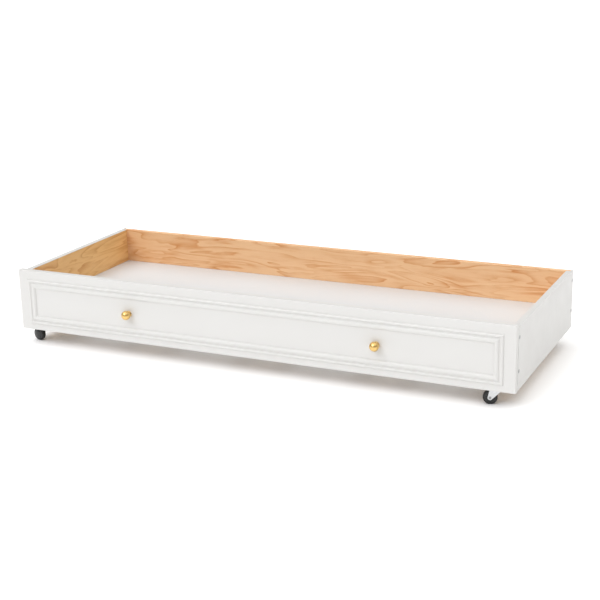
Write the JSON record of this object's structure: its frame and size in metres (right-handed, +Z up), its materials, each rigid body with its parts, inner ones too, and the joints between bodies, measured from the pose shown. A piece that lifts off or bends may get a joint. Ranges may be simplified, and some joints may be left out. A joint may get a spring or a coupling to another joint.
{
  "type": "trundle bed",
  "caption": "Low open-topped trundle drawer on swivel casters, with a moulded front, ball knobs and a flat deck for a mattress.",
  "frame": {"origin": "on the floor, under the middle of the whole bed with its knobs", "axes": "+X along the bed to its right end, -Y out of the front with the knobs, +Z up"},
  "size_m": [1.9712, 0.8028, 0.2975],
  "materials": {
    "white_lacquer": "white satin lacquer on board, natural oak veneer on the inner faces of the sides and back",
    "deck_white": "warm white laminate on plywood",
    "oak": "natural oak veneer, clear satin lacquer",
    "softwood": "planed softwood, unfinished",
    "knob_brass": "satin brass",
    "screw_steel": "zinc-plated steel, dulled",
    "zinc_plate": "bright zinc-plated pressed steel",
    "wheel_black": "black moulded nylon",
    "tyre_black": "black soft rubber"
  },
  "bodies": {
    "tray": {"front_panel": "white_lacquer", "moulding_top": "white_lacquer", "moulding_bottom": "white_lacquer", "moulding_left": "white_lacquer", "moulding_right": "white_lacquer", "box_front": "oak", "left_side": "white_lacquer", "right_side": "white_lacquer", "back_panel": "white_lacquer", "deck_panel": "deck_white", "front_ledger": "softwood", "back_ledger": "softwood", "left_ledger": "softwood", "right_ledger": "softwood", "left_bearer": "softwood", "centre_bearer": "softwood", "right_bearer": "softwood", "left_caster_rail": "softwood", "right_caster_rail": "softwood", "left_knob": "knob_brass", "right_knob": "knob_brass", "left_knob_rose": "knob_brass", "right_knob_rose": "knob_brass", "left_knob_screw": "screw_steel", "right_knob_screw": "screw_steel", "front_screws": "screw_steel", "left_corner_screws": "screw_steel", "right_corner_screws": "screw_steel", "ledger_screws": "screw_steel", "rail_screws": "screw_steel", "caster_screws": "screw_steel", "front_left_plate": "zinc_plate", "front_left_race": "zinc_plate", "front_left_kingpin": "zinc_plate", "front_right_plate": "zinc_plate", "front_right_race": "zinc_plate", "front_right_kingpin": "zinc_plate", "rear_left_plate": "zinc_plate", "rear_left_race": "zinc_plate", "rear_left_kingpin": "zinc_plate", "rear_right_plate": "zinc_plate", "rear_right_race": "zinc_plate", "rear_right_kingpin": "zinc_plate"},
    "front_left_swivel": {"front_left_arm": "zinc_plate", "front_left_axle": "screw_steel"},
    "front_left_wheel": {"front_left_wheel_hub": "wheel_black", "front_left_tyre": "tyre_black"},
    "front_right_swivel": {"front_right_arm": "zinc_plate", "front_right_axle": "screw_steel"},
    "front_right_wheel": {"front_right_wheel_hub": "wheel_black", "front_right_tyre": "tyre_black"},
    "rear_left_swivel": {"rear_left_arm": "zinc_plate", "rear_left_axle": "screw_steel"},
    "rear_left_wheel": {"rear_left_wheel_hub": "wheel_black", "rear_left_tyre": "tyre_black"},
    "rear_right_swivel": {"rear_right_arm": "zinc_plate", "rear_right_axle": "screw_steel"},
    "rear_right_wheel": {"rear_right_wheel_hub": "wheel_black", "rear_right_tyre": "tyre_black"}
  },
  "joints": [
    {"name": "front_left_swivel_turn", "type": "hinge", "parent": "tray", "child": "front_left_swivel", "pos_m": [-0.92, -0.31162, 0.0642], "axis": [0, 0, 1], "continuous": true},
    {"name": "front_left_wheel_spin", "type": "hinge", "parent": "front_left_swivel", "child": "front_left_wheel", "pos_m": [-0.95299, -0.3034, 0.025], "axis": [0.2419, 0.9703, 0], "continuous": true},
    {"name": "front_right_swivel_turn", "type": "hinge", "parent": "tray", "child": "front_right_swivel", "pos_m": [0.92, -0.31162, 0.0642], "axis": [0, 0, 1], "continuous": true},
    {"name": "front_right_wheel_spin", "type": "hinge", "parent": "front_right_swivel", "child": "front_right_wheel", "pos_m": [0.88701, -0.31985, 0.025], "axis": [-0.2419, 0.9703, 0], "continuous": true},
    {"name": "rear_left_swivel_turn", "type": "hinge", "parent": "tray", "child": "rear_left_swivel", "pos_m": [-0.92, 0.35137, 0.0642], "axis": [0, 0, 1], "continuous": true},
    {"name": "rear_left_wheel_spin", "type": "hinge", "parent": "rear_left_swivel", "child": "rear_left_wheel", "pos_m": [-0.954, 0.35137, 0.025], "axis": [0, 1, 0], "continuous": true},
    {"name": "rear_right_swivel_turn", "type": "hinge", "parent": "tray", "child": "rear_right_swivel", "pos_m": [0.92, 0.35137, 0.0642], "axis": [0, 0, 1], "continuous": true},
    {"name": "rear_right_wheel_spin", "type": "hinge", "parent": "rear_right_swivel", "child": "rear_right_wheel", "pos_m": [0.886, 0.35137, 0.025], "axis": [0, 1, 0], "continuous": true}
  ]
}
